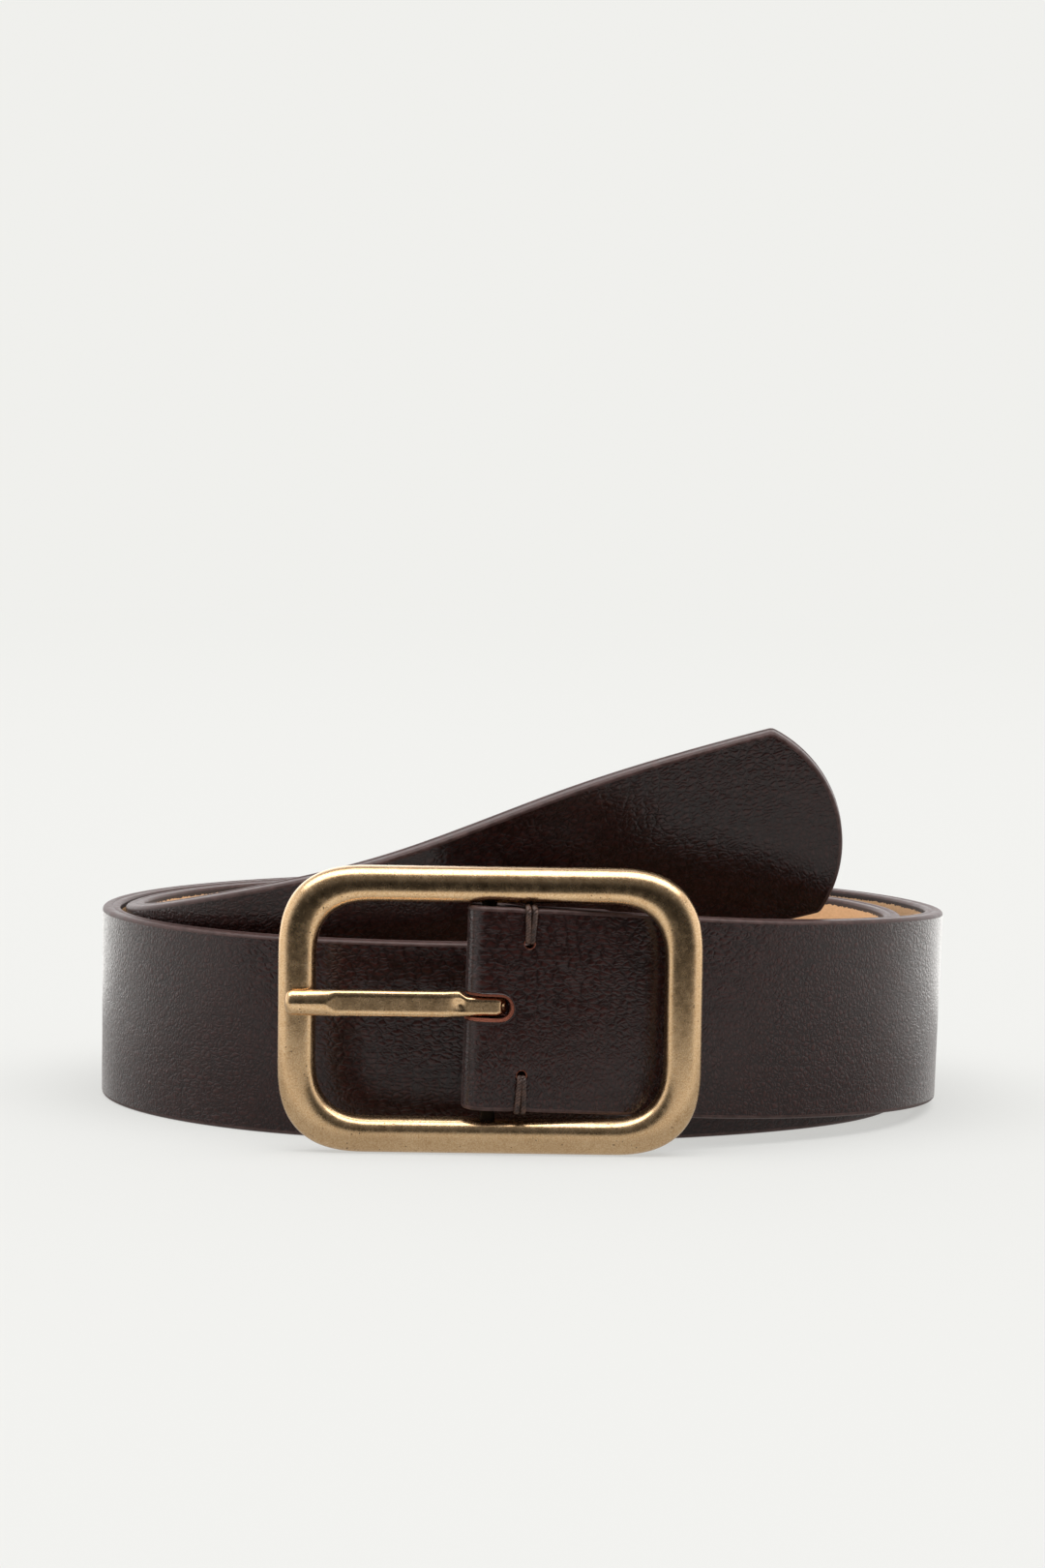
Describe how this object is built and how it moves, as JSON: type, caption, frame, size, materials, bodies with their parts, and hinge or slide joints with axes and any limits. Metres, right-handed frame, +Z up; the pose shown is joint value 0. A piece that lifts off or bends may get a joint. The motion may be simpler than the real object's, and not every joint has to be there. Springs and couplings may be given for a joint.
{
  "type": "belt",
  "caption": "Gentleman's leather belt coiled on its edge, with a two-ply strap and a centre-bar buckle whose frame and prong swing on the bar.",
  "frame": {"origin": "on the surface that the coiled belt stands on, under the middle of its box", "axes": "+Z up along the strap's width, +X along the buckle's long side towards the strap, +Y from the buckle to the back of the coil"},
  "size_m": [0.1793, 0.1511, 0.0822],
  "materials": {
    "dark_leather": "satin, fine pebble grain",
    "tan_leather": "matt, natural vegetable tan",
    "antique_brass": "satin, antiqued",
    "waxed_thread": "waxed, braided"
  },
  "bodies": {
    "strap": {"strap_outer": "dark_leather", "strap_lining": "tan_leather", "stitch_top": "waxed_thread", "stitch_bottom": "waxed_thread"},
    "buckle": {"buckle_frame": "antique_brass", "centre_bar": "antique_brass"},
    "prong": {"prong": "antique_brass"}
  },
  "joints": [
    {"name": "buckle_swing", "type": "hinge", "parent": "strap", "child": "buckle", "pos_m": [-0.00711, -0.0695, 0.02825], "axis": [0, 0, -1], "range_deg": [0, 15]},
    {"name": "prong_swing", "type": "hinge", "parent": "buckle", "child": "prong", "pos_m": [-0.00711, -0.0695, 0.0291], "axis": [0, 0, 1], "range_deg": [0, 85]}
  ]
}
